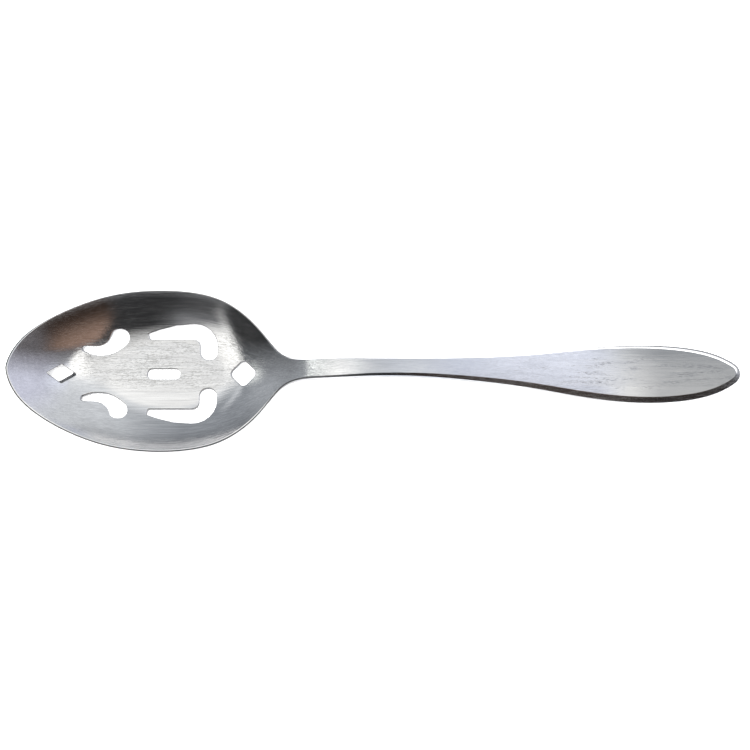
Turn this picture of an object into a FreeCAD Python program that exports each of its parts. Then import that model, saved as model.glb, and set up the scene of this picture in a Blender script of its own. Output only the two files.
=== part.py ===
"""Pierced serving spoon: one sheet of steel, graded in thickness, blanked, pressed and pierced.

The spoon lies as it rests on a table: +X runs from the bowl to the handle's end, +Z is up, and the
origin is the middle of its length, at table level.  Lengths are millimetres and angles degrees.
"""
import FreeCAD, Part

import math
import os

import Sketcher

# Driving sizes: name, value and meaning
SIZES = (
    ("overall_length", 213.0, "bowl tip to handle end, seen from above"),
    ("bowl_length", 88.0, "bowl tip to the start of the shank"),
    ("bowl_width", 47.3, "across the bowl at its widest"),
    ("shank_width", 5.3, "across the thin part behind the bowl"),
    ("handle_width", 17.0, "across the handle at its widest"),
    ("widest_from_tip", 45.5, "bowl tip to the bowl's widest place"),
    ("dish_end", 7.0, "the dish would reach rim height this far in front of the shank"),
    ("rim_rise", 7.4, "rim above the bowl's floor at the sides"),
    ("tip_lift", 0.7, "extra rise of the rim at the tip, as a share of the rise at the sides"),
    ("floor_share", 0.4, "flat floor of the bowl, as a share of the bowl's size"),
    ("bowl_sheet", 1.3, "thickness of the bowl"),
    ("shank_thickness", 3.5, "thickness of the shank"),
    ("handle_thickness", 2.2, "thickness of the handle's wide end"),
    ("swell_front", 16.0, "the sheet starts to thicken this far in front of the shank"),
    ("swell_back", 6.0, "and has the shank's thickness this far behind the shank's start"),
    ("taper_start", 6.0, "the shank starts to thin this far behind its highest place"),
    ("taper_end", 10.0, "and has the handle's thickness this far in front of the handle's lowest place"),
    ("foot_depth", 0.06, "dressed off the bowl's underside, so that it stands on a flat"),
    ("shank_crest", 15.6, "top of the shank above the table"),
    ("crest_from_tip", 108.0, "bowl tip to the highest place of the shank"),
    ("handle_dip", 2.4, "top of the handle above the table where it is lowest"),
    ("dip_from_tip", 187.0, "bowl tip to the lowest place of the handle"),
    ("end_lift", 1.5, "turn-up of the handle's end above its lowest place"),
    ("neck_blend", 2.0, "height over which the bowl's back wall rolls over into the shank"),
    ("curl_radius", 25.0, "radius that lifts the shank's line clear of the bowl in front of the shank"),
    ("crown_radius", 110.0, "radius of the handle's face across its width"),
    ("crown_ease", 8.0, "the crown fades in from this far in front of the shank to as far behind its start"),
    ("rim_round", 0.45, "rounding of the bowl's rim, above and below"),
    ("handle_round", 1.2, "rolled upper edge of the shank and handle"),
    ("underside_round", 0.45, "rounding of the lower edge of the shank and handle"),
    ("slot_from_tip", 43.2, "bowl tip to the middle of the centre slot"),
    ("slot_length", 9.7, "centre slot, end to end"),
    ("slot_width", 3.1, "centre slot, side to side"),
    ("slot_corner", 1.4, "corner radius of the centre slot"),
    ("diamond_from_tip", 13.6, "bowl tip to the middle of the front diamond"),
    ("diamond_length", 8.2, "front diamond, along the spoon"),
    ("diamond_width", 5.7, "front diamond, across the spoon"),
    ("diamond_corner", 0.35, "corner radius of the front diamond"),
    ("diamond_lean", 20.0, "lean of the front diamond's punch towards the handle"),
    ("lozenge_from_tip", 66.7, "bowl tip to the middle of the back diamond"),
    ("lozenge_length", 8.7, "back diamond, along the spoon"),
    ("lozenge_width", 8.4, "back diamond, across the spoon"),
    ("lozenge_corner", 1.5, "corner radius of the back diamond"),
    ("lozenge_lean", 14.0, "lean of the back diamond's punch towards the tip"),
    ("hook_from_tip", 38.2, "bowl tip to the point of each hook"),
    ("hook_length", 20.8, "hook, from its point to the back of its stem"),
    ("hook_inner", 10.35, "axis to the near edge of the hook's arm"),
    ("hook_arm", 4.4, "width of the hook's arm"),
    ("hook_stem", 5.2, "width of the hook's stem"),
    ("hook_end", 4.2, "axis to the end of the hook's stem"),
    ("hook_bend", 6.8, "outer radius of the hook's bend"),
    ("comma_from_tip", 19.2, "bowl tip to the tail of each comma"),
    ("comma_length", 13.6, "comma, along the spoon"),
    ("comma_inner", 5.5, "axis to the comma's near edge"),
    ("comma_tail", 2.7, "width of the comma's tail"),
    ("comma_head", 4.6, "width of the comma's head"),
    ("comma_reach", 13.2, "axis to the far end of the comma's head"),
    ("scroll_lean", 11.0, "lean of the hook and comma punches towards the axis"),
    ("trim_margin", 3.0, "how far the pressed sheet runs past the outline before it is trimmed"),
)

# Outline of one side as control points: share of the stretch's length, width it follows, share of that width.
# Where stretches meet, the control points on either side are in line, so that the outline runs on smoothly.
BOWL_SIDE = (
    (0.0, "bowl_width", 0.0),
    (0.0, "bowl_width", 0.03),
    (0.02, "bowl_width", 0.215),
    (0.266, "bowl_width", 0.461),
    (0.476, "bowl_width", 0.514),
    (0.689, "bowl_width", 0.478),
    (0.814, "bowl_width", 0.285),
    (0.853, "bowl_width", 0.175),
    (0.875, "bowl_width", 0.132),
)
NECK_SIDE = (
    (0.875, "bowl_width", 0.132),
    (0.897, "bowl_width", 0.089),
    (0.921, "shank_width", 0.55),
    (1.0, "shank_width", 0.55),
)
HANDLE_SIDE = (
    (0.0, "shank_width", 0.55),
    (0.066, "shank_width", 0.55),
    (0.107, "shank_width", 0.5),
    (0.231, "shank_width", 0.47),
    (0.351, "shank_width", 0.61),
    (0.507, "handle_width", 0.278),
    (0.639, "handle_width", 0.448),
    (0.792, "handle_width", 0.535),
    (0.921, "handle_width", 0.44),
    (0.984, "handle_width", 0.212),
    (1.0, "handle_width", 0.1),
    (1.0, "handle_width", 0.0),
)

# Hook: how far its point stands above its inner edge and its outer shoulder behind the point
HOOK_POINT_RISE = 0.38
HOOK_POINT_SLANT = 0.03
HOOK_SHOULDER = 0.4
# Roundings of the hook, as shares of its arm (point, shoulder) and of its stem (end, inner bend)
HOOK_POINT_ROUND = 0.11
HOOK_SHOULDER_ROUND = 7.0
HOOK_END_ROUND = 0.46
HOOK_BEND_ROUND = 0.4
# Comma: how far its tip is cut back from the axis, as a share of its tail, and how far along that cut runs;
# then where its two sides turn outwards, as shares of its length, and where its back straightens
COMMA_TIP_CUT = 0.45
COMMA_CUT_END = 0.22
COMMA_INNER_TURN = 0.62
COMMA_OUTER_TURN = 0.52
COMMA_BACK_TURN = 0.5
# Roundings of the comma, as shares of its tail (tip) and of its head (the others)
COMMA_TIP_ROUND = 0.3
COMMA_TAIL_ROUND = 1.2
COMMA_INNER_ROUND = 1.9
COMMA_BACK_ROUND = 0.66
COMMA_HEAD_ROUND = 0.48

# Fineness of the pressed surfaces: about how far apart their rows are on bowl, neck and handle
BOWL_ROWS = 3.3
NECK_ROWS = 2.0
HANDLE_ROWS = 6.0
ROWS_ACROSS = 19
# Small lengths that count as nothing
STEP = 0.01
CLOSE = 0.05
# An edge steeper than this is square to the table
UPRIGHT = 0.99
# Punches and the blank are this many times as long as the spoon is high
REACH = 3

doc = FreeCAD.newDocument("pierced_spoon")
sheet = doc.addObject("Spreadsheet::Sheet", "sizes")
for row, (name, value, meaning) in enumerate(SIZES, start=1):
    sheet.set("A%d" % row, name)
    sheet.set("B%d" % row, str(value))
    sheet.set("C%d" % row, meaning)
    sheet.setAlias("B%d" % row, name)
doc.recompute()
READ_SIZES = {name: float(sheet.get(name)) for name, value, meaning in SIZES}


def size(name):
    return READ_SIZES[name]


def cell(name):
    return "<<sizes>>." + name


# Form of the pressed sheet
def hermite(knots, x):
    """Height at x of the smooth line through knots (place, height, slope)."""
    start, end = knots[0], knots[1]
    for pair in zip(knots, knots[1:]):
        if x >= pair[0][0]:
            start, end = pair
    span = end[0] - start[0]
    t = (x - start[0]) / span
    rise = (3 - 2 * t) * t * t
    ease_out = t * (1 - t) ** 2
    ease_in = t * t * (1 - t)
    return start[1] + (end[1] - start[1]) * rise + span * (start[2] * ease_out - end[2] * ease_in)


def smooth_step(start, end, x):
    t = min(max((x - start) / (end - start), 0.0), 1.0)
    return t * t * (3 - 2 * t)


def lower_of(a, b, blend):
    """The lower of two heights, rolled into each other where they differ by less than blend."""
    near = max(blend - abs(a - b), 0.0) / blend
    return min(a, b) - near * near * blend / 4


BOWL_TIP = -size("overall_length") / 2
HANDLE_END = size("overall_length") / 2
WIDEST = BOWL_TIP + size("widest_from_tip")
SHANK_START = BOWL_TIP + size("bowl_length")
DISH_BACK = SHANK_START - size("dish_end") - WIDEST
CREST = BOWL_TIP + size("crest_from_tip")
DIP = BOWL_TIP + size("dip_from_tip")
NECK_START = BOWL_TIP + NECK_SIDE[0][0] * size("bowl_length")

# Slopes of the crest line at the start of the shank, halfway down the handle and at its end
SHANK_SLOPE = 0.33
HANDLE_SLOPE = -0.24
END_SLOPE = 0.12
# The crest line falls steepest at this share of the way from the crest to the dip
STEEPEST_SHARE = 0.35
STEEPEST_DROP = 0.32


def crest_line():
    """Knots of the line along the top of the shank and handle."""
    fall = size("shank_crest") - size("handle_dip")
    start_drop = SHANK_SLOPE * (CREST - SHANK_START) / 2
    steepest = CREST + STEEPEST_SHARE * (DIP - CREST)
    return (
        (SHANK_START, size("shank_crest") - start_drop, SHANK_SLOPE),
        (CREST, size("shank_crest"), 0.0),
        (steepest, size("shank_crest") - STEEPEST_DROP * fall, HANDLE_SLOPE),
        (DIP, size("handle_dip"), 0.0),
        (HANDLE_END, size("handle_dip") + size("end_lift"), END_SLOPE),
    )


CREST_LINE = crest_line()


def arch_height(x):
    """Top of the shank and handle; in front of the shank the line curls up, clear of the bowl."""
    behind = max(x, SHANK_START)
    ahead = behind - x
    curl = ahead * ahead / (2 * size("curl_radius"))
    return hermite(CREST_LINE, behind) - SHANK_SLOPE * ahead + curl


def dish_height(x, y):
    """Top of the bowl: a flat oval floor and a wall that steepens outwards."""
    reach = DISH_BACK if x > WIDEST else size("widest_from_tip")
    along = (x - WIDEST) / reach
    ratio = math.hypot(along, 2 * y / size("bowl_width"))
    wall = max(ratio - size("floor_share"), 0.0) / (1 - size("floor_share"))
    lift = 1 + size("tip_lift") * min(along, 0.0) ** 2
    return size("bowl_sheet") - size("foot_depth") + size("rim_rise") * lift * wall * wall


def form_height(x, y):
    return lower_of(dish_height(x, y), arch_height(x), size("neck_blend"))


def thickness(x):
    """The bowl is thin, the shank thick, and the handle thins again towards its end."""
    bowl, shank, handle = size("bowl_sheet"), size("shank_thickness"), size("handle_thickness")
    swell = smooth_step(SHANK_START - size("swell_front"), SHANK_START + size("swell_back"), x)
    taper = smooth_step(CREST + size("taper_start"), DIP - size("taper_end"), x)
    return bowl + (shank - bowl) * swell + (handle - shank) * taper


def top_height(x, y):
    """Upper face: the form, crowned a little across the shank and handle."""
    fade = smooth_step(SHANK_START - size("crown_ease"), SHANK_START + size("crown_ease"), x)
    return form_height(x, y) - fade * y * y / (2 * size("crown_radius"))


def under_height(x, y):
    """Lower face: the form, offset by the thickness square to its slope."""
    slope_x = (form_height(x + STEP, y) - form_height(x - STEP, y)) / (2 * STEP)
    slope_y = (form_height(x, y + STEP) - form_height(x, y - STEP)) / (2 * STEP)
    return form_height(x, y) - thickness(x) * math.sqrt(1 + slope_x ** 2 + slope_y ** 2)


def spread(low, high, count):
    return [low + (high - low) * i / (count - 1) for i in range(count)]


def half_sheet(x):
    """Half the width of the sheet before trimming: broad at the bowl, narrower along the handle."""
    narrowing = smooth_step(WIDEST + DISH_BACK / 2, SHANK_START, x)
    bowl, handle = size("bowl_width"), size("handle_width")
    return (bowl + (handle - bowl) * narrowing) / 2 + size("trim_margin")


def rows_along():
    """Places of the rows that carry a pressed surface: closest at the neck, widest apart on the handle."""
    neck = SHANK_START - size("swell_front")
    ends = (BOWL_TIP - size("trim_margin"), neck, CREST, HANDLE_END + size("trim_margin"))
    places = [ends[0]]
    for start, end, step in zip(ends, ends[1:], (BOWL_ROWS, NECK_ROWS, HANDLE_ROWS)):
        count = 1 + round((end - start) / step)
        places += spread(start, end, count)[1:]
    return places


def pressed_face(height):
    """A smooth surface through height(x, y), a little longer and wider than the spoon."""
    rows = []
    for x in rows_along():
        across = spread(-half_sheet(x), half_sheet(x), ROWS_ACROSS)
        rows.append([FreeCAD.Vector(x, y, height(x, y)) for y in across])
    surface = Part.BSplineSurface()
    surface.interpolate(rows)
    return surface


def pressed_sheet():
    """The pressed sheet before trimming: upper face, lower face and the four sides between them."""
    top = pressed_face(top_height).toShape()
    under = pressed_face(under_height).toShape()
    sides = [Part.makeRuledSurface(upper, lower) for upper, lower in zip(top.Edges, under.Edges)]
    shell = Part.makeShell([top, under] + sides)
    shell.sewShape()
    solid = Part.makeSolid(shell)
    if solid.Volume < 0:
        solid.reverse()
    return solid


# Plan sketches: every length along the spoon is measured from the bowl's tip
def plan_sketch(name, height=0.0):
    sketch = doc.addObject("Sketcher::SketchObject", name)
    sketch.Placement.Base = FreeCAD.Vector(BOWL_TIP, 0, height)
    sketch.setExpression("Placement.Base.x", "-%s / 2" % cell("overall_length"))
    return sketch


def pin(sketch, geometry, end, along, across):
    """Hold a point of the sketch at along, across; a leading minus puts it below the axis."""
    held = (-1, 1, geometry, end)
    sketch.addConstraint(Sketcher.Constraint("DistanceX", *held, sketch.evalExpression(along)))
    sketch.setExpression("Constraints[%d]" % (sketch.ConstraintCount - 1), along)
    if across.startswith("-"):
        held = (geometry, end, -1, 1)
        across = across[1:]
    if across == "0":
        sketch.addConstraint(Sketcher.Constraint("PointOnObject", geometry, end, -1))
        return
    sketch.addConstraint(Sketcher.Constraint("DistanceY", *held, sketch.evalExpression(across)))
    sketch.setExpression("Constraints[%d]" % (sketch.ConstraintCount - 1), across)


def place_of(sketch, along, across):
    """The point that two expressions give, as numbers."""
    sign = -1 if across.startswith("-") else 1
    return FreeCAD.Vector(sketch.evalExpression(along), sign * sketch.evalExpression(across.lstrip("-")), 0)


def control_spline(sketch, points):
    """A spline whose control points are pinned to the sheet."""
    places = [place_of(sketch, along, across) for along, across in points]
    curve = Part.BSplineCurve()
    curve.buildFromPoles(places, False, 3)
    spline = sketch.addGeometry(curve)
    sketch.exposeInternalGeometry(spline)
    shown = range(spline + 1, sketch.GeometryCount)
    circles = [index for index in shown if isinstance(sketch.Geometry[index], Part.Circle)]
    for circle, (along, across) in zip(circles, points):
        pin(sketch, circle, 3, along, across)


def rounded_outline(sketch, corners):
    """A closed outline of straight runs between corners (along, across, radius), each one rounded."""
    places = [place_of(sketch, along, across) for along, across, radius in corners]
    arcs, lines, marks = [], [], []
    ends = []
    for index, (along, across, radius) in enumerate(corners):
        here = places[index]
        back = (places[index - 1] - here).normalize()
        ahead = (places[(index + 1) % len(places)] - here).normalize()
        half = back.getAngle(ahead) / 2
        cut = sketch.evalExpression(radius) / math.tan(half)
        middle = (back + ahead).normalize()
        centre = here + middle * (sketch.evalExpression(radius) / math.sin(half))
        inmost = centre - middle * sketch.evalExpression(radius)
        ends.append((here + back * cut, inmost, here + ahead * cut))
    for index, (first, middle, last) in enumerate(ends):
        following = ends[(index + 1) % len(ends)][0]
        arcs.append(sketch.addGeometry(Part.Arc(first, middle, last)))
        lines.append(sketch.addGeometry(Part.LineSegment(last, following)))
        marks.append(sketch.addGeometry(Part.Point(places[index]), True))
    for index, (along, across, radius) in enumerate(corners):
        pin(sketch, marks[index], 1, along, across)
        sketch.addConstraint(Sketcher.Constraint("Radius", arcs[index], sketch.evalExpression(radius)))
        sketch.setExpression("Constraints[%d]" % (sketch.ConstraintCount - 1), radius)
    for index in range(len(corners)):
        turn_ends = arc_ends(sketch, arcs[index], ends[index])
        following = (index + 1) % len(corners)
        next_ends = arc_ends(sketch, arcs[following], ends[following])
        sketch.addConstraint(Sketcher.Constraint("Tangent", arcs[index], turn_ends[1], lines[index], 1))
        sketch.addConstraint(Sketcher.Constraint("Tangent", lines[index], 2, arcs[following], next_ends[0]))
        sketch.addConstraint(Sketcher.Constraint("PointOnObject", marks[index], 1, lines[index]))
        sketch.addConstraint(Sketcher.Constraint("PointOnObject", marks[following], 1, lines[index]))


def arc_ends(sketch, arc, ends):
    """Which end of an arc comes first and which last along the outline."""
    start = sketch.getPoint(arc, 1)
    return (1, 2) if start.distanceToPoint(ends[0]) < start.distanceToPoint(ends[2]) else (2, 1)


def prism(name, sketch, lean_back="0", lean_in="0", both_ways=True):
    """The sketch drawn out, square to the table or leaning along and across the spoon."""
    drawn = doc.addObject("Part::Extrusion", name)
    drawn.Base = sketch
    drawn.DirMode = "Custom"
    drawn.Solid = True
    drawn.Symmetric = both_ways
    drawn.setExpression("Dir.x", "sin(%s)" % lean_back)
    drawn.setExpression("Dir.y", "-sin(%s)" % lean_in)
    drawn.setExpression("Dir.z", "cos(%s) * cos(%s)" % (lean_back, lean_in))
    drawn.setExpression("LengthFwd", "%d * (%s + %s)" % (REACH, cell("shank_crest"), cell("rim_rise")))
    return drawn


def punch(name, centre, corners, lean_back="0", lean_in="0"):
    """A punch for one piercing: its outline on the form, drawn out square to the form there."""
    height = top_height(BOWL_TIP + centre[0], centre[1])
    sketch = plan_sketch(name + "_sketch", height)
    rounded_outline(sketch, corners)
    return prism(name, sketch, lean_back, lean_in)


def mirrored(name, source):
    """The same on the other side of the spoon's axis."""
    copy = doc.addObject("Part::Mirroring", name)
    copy.Source = source
    copy.Normal = FreeCAD.Vector(0, 1, 0)
    return copy


def blank_outline():
    """The flat blank seen from above: bowl, neck and handle, the same on both sides."""
    sketch = plan_sketch("blank_sketch")
    handle_length = "(%s - %s)" % (cell("overall_length"), cell("bowl_length"))
    for side in ("", "-"):
        for start, length, poles in (
            ("0", cell("bowl_length"), BOWL_SIDE),
            ("0", cell("bowl_length"), NECK_SIDE),
            (cell("bowl_length"), handle_length, HANDLE_SIDE),
        ):
            points = []
            for share, width, part in poles:
                along = "%s + %s * %s" % (start, share, length)
                across = "%s%s * %s" % (side, part, cell(width)) if part else "0"
                points.append((along, across))
            control_spline(sketch, points)
    return sketch


def centre_slot():
    start = "%s - %s / 2" % (cell("slot_from_tip"), cell("slot_length"))
    finish = "%s + %s / 2" % (cell("slot_from_tip"), cell("slot_length"))
    side = "%s / 2" % cell("slot_width")
    radius = cell("slot_corner")
    corners = (
        (start, "-" + side, radius),
        (finish, "-" + side, radius),
        (finish, side, radius),
        (start, side, radius),
    )
    return punch("centre_slot", (size("slot_from_tip"), 0), corners)


def diamond(name, lean):
    """A four-cornered piercing on the axis, with two points along the spoon and two across it."""
    middle = cell(name + "_from_tip")
    reach = "%s / 2" % cell(name + "_length")
    side = "%s / 2" % cell(name + "_width")
    radius = cell(name + "_corner")
    corners = (
        ("%s - %s" % (middle, reach), "0", radius),
        (middle, "-" + side, radius),
        ("%s + %s" % (middle, reach), "0", radius),
        (middle, side, radius),
    )
    return punch(name, (size(name + "_from_tip"), 0), corners, lean_back=lean)


def hook():
    """A bar along the spoon that bends in towards the axis, behind the centre slot."""
    point, length, inner = cell("hook_from_tip"), cell("hook_length"), cell("hook_inner")
    arm, stem, end = cell("hook_arm"), cell("hook_stem"), cell("hook_end")
    back = "%s + %s" % (point, length)
    outer = "%s + %s" % (inner, arm)
    stem_front = "%s - %s" % (back, stem)
    end_radius = "%s * %s" % (HOOK_END_ROUND, stem)
    point_radius = "%s * %s" % (HOOK_POINT_ROUND, arm)
    corners = (
        (point, "%s + %s * %s" % (inner, HOOK_POINT_RISE, arm), point_radius),
        ("%s + %s * %s" % (point, HOOK_POINT_SLANT, length), inner, point_radius),
        (stem_front, inner, "%s * %s" % (HOOK_BEND_ROUND, stem)),
        (stem_front, end, end_radius),
        (back, end, end_radius),
        (back, outer, cell("hook_bend")),
        ("%s + %s * %s" % (point, HOOK_SHOULDER, length), outer, "%s * %s" % (HOOK_SHOULDER_ROUND, arm)),
    )
    centre = (size("hook_from_tip") + size("hook_length") / 2, size("hook_inner") + size("hook_arm") / 2)
    return punch("hook", centre, corners, lean_in=cell("scroll_lean"))


def comma():
    """A tail along the spoon that swells into a round head, turned away from the axis."""
    tail_tip, length, inner = cell("comma_from_tip"), cell("comma_length"), cell("comma_inner")
    tail, head, reach = cell("comma_tail"), cell("comma_head"), cell("comma_reach")
    back = "%s + %s" % (tail_tip, length)
    outer = "%s + %s" % (inner, tail)
    tip_radius = "%s * %s" % (COMMA_TIP_ROUND, tail)
    tip_inner = "%s + %s * %s" % (inner, COMMA_TIP_CUT, tail)
    head_radius = "%s * %s" % (COMMA_HEAD_ROUND, head)
    cut_end = "%s + %s * %s" % (tail_tip, COMMA_CUT_END, length)
    inner_turn = "%s + %s * %s" % (tail_tip, COMMA_INNER_TURN, length)
    outer_turn = "%s + %s * %s" % (tail_tip, COMMA_OUTER_TURN, length)
    back_turn = "%s + %s * (%s - %s)" % (inner, COMMA_BACK_TURN, reach, inner)
    corners = (
        (tail_tip, outer, tip_radius),
        (tail_tip, tip_inner, tip_radius),
        (cut_end, inner, "%s * %s" % (COMMA_TAIL_ROUND, head)),
        (inner_turn, inner, "%s * %s" % (COMMA_INNER_ROUND, head)),
        (back, back_turn, "%s * %s" % (COMMA_BACK_ROUND, head)),
        (back, reach, head_radius),
        ("%s - %s" % (back, head), reach, head_radius),
        (outer_turn, outer, head),
    )
    middle = size("comma_from_tip") + size("comma_length") / 2
    centre = (middle, (size("comma_inner") + size("comma_reach")) / 2)
    return punch("comma", centre, corners, lean_in=cell("scroll_lean"))


def joined(kind, name, base, tool):
    """A cut or a common of two solids."""
    result = doc.addObject(kind, name)
    result.Base = base
    result.Tool = tool
    return result


def on_outline(edge, wires):
    """Whether an edge runs along the blank's outline, seen from above."""
    middle = edge.valueAt((edge.FirstParameter + edge.LastParameter) / 2)
    flat = Part.Vertex(middle.x, middle.y, 0)
    return wires.distToShape(flat)[0] < CLOSE


def edge_rounds(shape, wires):
    """Number and rounding of the outline's edges; round the neck one rounding eases into the other."""
    rounds = []
    for number, edge in enumerate(shape.Edges, start=1):
        middle = edge.valueAt((edge.FirstParameter + edge.LastParameter) / 2)
        upright = abs(edge.tangentAt(edge.FirstParameter).z) > UPRIGHT
        in_neck = NECK_START < middle.x < SHANK_START
        above = middle.z > form_height(middle.x, middle.y) - thickness(middle.x) / 2
        if upright or (in_neck and above) or not on_outline(edge, wires):
            continue
        radius = size("underside_round")
        if above:
            radius = size("handle_round") if middle.x > SHANK_START else size("rim_round")
        rounds.append((number, radius, radius))
    return rounds


def pierced_spoon():
    """Press the sheet, trim it to the outline, round its edges and punch the seven piercings.

    The blank is drawn up from the table, so the bowl's floor, pressed a hair below it, ends in a flat foot.
    """
    pressed = doc.addObject("Part::Feature", "pressed_sheet")
    pressed.Shape = pressed_sheet()
    outline = blank_outline()
    blank = prism("blank", outline, both_ways=False)
    trimmed = joined("Part::Common", "trimmed_sheet", pressed, blank)
    doc.recompute()
    spoon = doc.addObject("Part::Fillet", "rounded_sheet")
    spoon.Base = trimmed
    spoon.Edges = edge_rounds(trimmed.Shape, outline.Shape)
    hook_punch = hook()
    comma_punch = comma()
    for tool in (
        centre_slot(),
        diamond("diamond", cell("diamond_lean")),
        diamond("lozenge", "-" + cell("lozenge_lean")),
        hook_punch,
        mirrored("far_hook", hook_punch),
        comma_punch,
        mirrored("far_comma", comma_punch),
    ):
        spoon = joined("Part::Cut", "cut_" + tool.Name, spoon, tool)
    spoon.Label = "pierced_spoon"
    doc.recompute()
    return spoon


def check_model():
    """Stop if an object of the document failed or has a broken shape."""
    for item in doc.Objects:
        if "Invalid" in item.State or "Error" in item.State:
            raise RuntimeError("%s failed: %s" % (item.Label, item.State))
        shape = getattr(item, "Shape", None)
        if shape is not None and (shape.isNull() or not shape.isValid()):
            raise RuntimeError("%s has a broken shape" % item.Label)


def write_parts(pieces):
    os.makedirs("parts", exist_ok=True)
    for piece in pieces:
        shape = piece.Shape
        print("%s: %.1f mm3, %d solid" % (piece.Label, shape.Volume, len(shape.Solids)), shape.BoundBox)
        shape.exportStep("parts/%s.step" % piece.Label)


spoon = pierced_spoon()
check_model()
write_parts([spoon])
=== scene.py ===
# %% [markdown]
# # A pierced serving spoon in brushed steel
#
# The spoon is one sheet of steel: it is blanked flat, pressed into its form and pierced.  This script
# follows the same steps.  It draws the flat blank with its piercings, gives it two faces and rounded
# edges, and lets Geometry Nodes press it.  Then come the brushed finish, the light and the camera.
#
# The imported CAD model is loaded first, because it fixes where everything is.

# %% Load the frame
import bisect
import math

import bpy
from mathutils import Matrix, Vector, kdtree
from mathutils.geometry import delaunay_2d_cdt


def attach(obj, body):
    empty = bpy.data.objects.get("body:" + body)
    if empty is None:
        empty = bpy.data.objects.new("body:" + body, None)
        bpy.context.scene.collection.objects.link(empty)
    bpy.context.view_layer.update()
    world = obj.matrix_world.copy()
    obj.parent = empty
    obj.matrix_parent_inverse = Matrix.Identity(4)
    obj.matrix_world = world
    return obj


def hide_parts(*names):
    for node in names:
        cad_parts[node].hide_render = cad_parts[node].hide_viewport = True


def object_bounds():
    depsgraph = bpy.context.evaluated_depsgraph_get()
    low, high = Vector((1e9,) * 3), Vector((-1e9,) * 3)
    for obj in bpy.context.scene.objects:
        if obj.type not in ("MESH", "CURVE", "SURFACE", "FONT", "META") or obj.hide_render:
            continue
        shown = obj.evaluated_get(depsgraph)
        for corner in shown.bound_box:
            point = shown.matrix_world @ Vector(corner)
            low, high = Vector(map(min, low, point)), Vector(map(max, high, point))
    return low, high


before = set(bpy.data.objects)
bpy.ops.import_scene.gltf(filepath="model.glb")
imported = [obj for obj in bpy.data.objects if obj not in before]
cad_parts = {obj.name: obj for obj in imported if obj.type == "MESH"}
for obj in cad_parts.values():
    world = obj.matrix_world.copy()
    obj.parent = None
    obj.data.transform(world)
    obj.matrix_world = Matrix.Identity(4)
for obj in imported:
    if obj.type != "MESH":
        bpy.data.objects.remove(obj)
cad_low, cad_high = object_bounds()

MM = 0.001
NODE = "pierced_spoon"
print("CAD box in mm:", [round(v / MM, 1) for v in (*cad_low, *cad_high)])

# %% [markdown]
# ## Arithmetic with sockets
#
# Node trees for shape and finish are mostly arithmetic.  Wrapped in a small class, a socket can be used
# in a Python expression, and each operator adds its Math node.  Every node comes from one method, which
# takes its type, its settings and what goes into its sockets.


# %% Sockets as numbers
class Term:
    """The output of a node, for use in expressions."""

    def __init__(self, tree, socket):
        self.tree = tree
        self.socket = socket

    def __add__(self, other):
        return self.tree.math("ADD", self, other)

    def __radd__(self, other):
        return self.tree.math("ADD", other, self)

    def __sub__(self, other):
        return self.tree.math("SUBTRACT", self, other)

    def __rsub__(self, other):
        return self.tree.math("SUBTRACT", other, self)

    def __mul__(self, other):
        return self.tree.math("MULTIPLY", self, other)

    def __rmul__(self, other):
        return self.tree.math("MULTIPLY", other, self)

    def __truediv__(self, other):
        return self.tree.math("DIVIDE", self, other)

    def __rtruediv__(self, other):
        return self.tree.math("DIVIDE", other, self)

    def __neg__(self):
        return self.tree.math("MULTIPLY", self, -1.0)


class Tree:
    """A node tree with one method that adds a node of any kind."""

    def __init__(self, graph):
        self.graph = graph

    def fill(self, socket, value):
        if isinstance(value, Term):
            self.graph.links.new(value.socket, socket)
        else:
            socket.default_value = value

    def node(self, kind, settings=None, inputs=None, out=0):
        """Add a node; settings come first, because they can change its sockets."""
        node = self.graph.nodes.new(kind)
        for name, value in (settings or {}).items():
            setattr(node, name, value)
        for key, value in (inputs or {}).items():
            self.fill(node.inputs[key], value)
        return Term(self, node.outputs[out]) if node.outputs else None

    def math(self, operation, *values):
        return self.node("ShaderNodeMath", {"operation": operation}, dict(enumerate(values)))


# %% Helpers for shape and finish
def between(term, low, high):
    """0 below low, 1 above high, and a smooth ramp from one to the other."""
    settings = {"interpolation_type": "SMOOTHSTEP"}
    inputs = {"Value": term, "From Min": low, "From Max": high}
    return term.tree.node("ShaderNodeMapRange", settings, inputs)


def clamp(term, low=0.0, high=1.0):
    return term.tree.node("ShaderNodeClamp", None, {"Value": term, "Min": low, "Max": high})


def part(term, axis):
    """One coordinate of a vector: X, Y or Z."""
    return term.tree.node("ShaderNodeSeparateXYZ", None, {0: term}, out=axis)


# %% [markdown]
# ## Sizes
#
# Lengths are millimetres, as a cutler would note them, and become metres where a mesh or a tree needs
# them.  Places along the spoon are counted from the middle of its length, which the frame gives: the
# tip of the bowl, its widest place, the neck, the root of the shank, the crest of the arch, the dip
# where the handle rests, and the end.

# %% Sizes of the spoon
LENGTH = (cad_high.x - cad_low.x) / MM
BOWL_LENGTH = 88.0
BOWL_WIDTH = 47.3
SHANK_WIDTH = 5.3
HANDLE_WIDTH = 17.0
TIP = -LENGTH / 2
END = LENGTH / 2
REACH_TO_TIP = 45.5
REACH_TO_BACK = 35.5
WIDEST = TIP + REACH_TO_TIP
NECK_SHARE = 0.875
NECK = TIP + NECK_SHARE * BOWL_LENGTH
SHANK = TIP + BOWL_LENGTH
CREST = TIP + 108.0
DIP = TIP + 187.0
CREST_HEIGHT = 15.6
DIP_HEIGHT = 2.4
STEEPEST_SHARE = 0.35
STEEPEST = CREST + STEEPEST_SHARE * (DIP - CREST)
print("spoon %.1f mm long, widest at %.1f, crest at %.1f, dip at %.1f" % (LENGTH, WIDEST, CREST, DIP))

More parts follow.
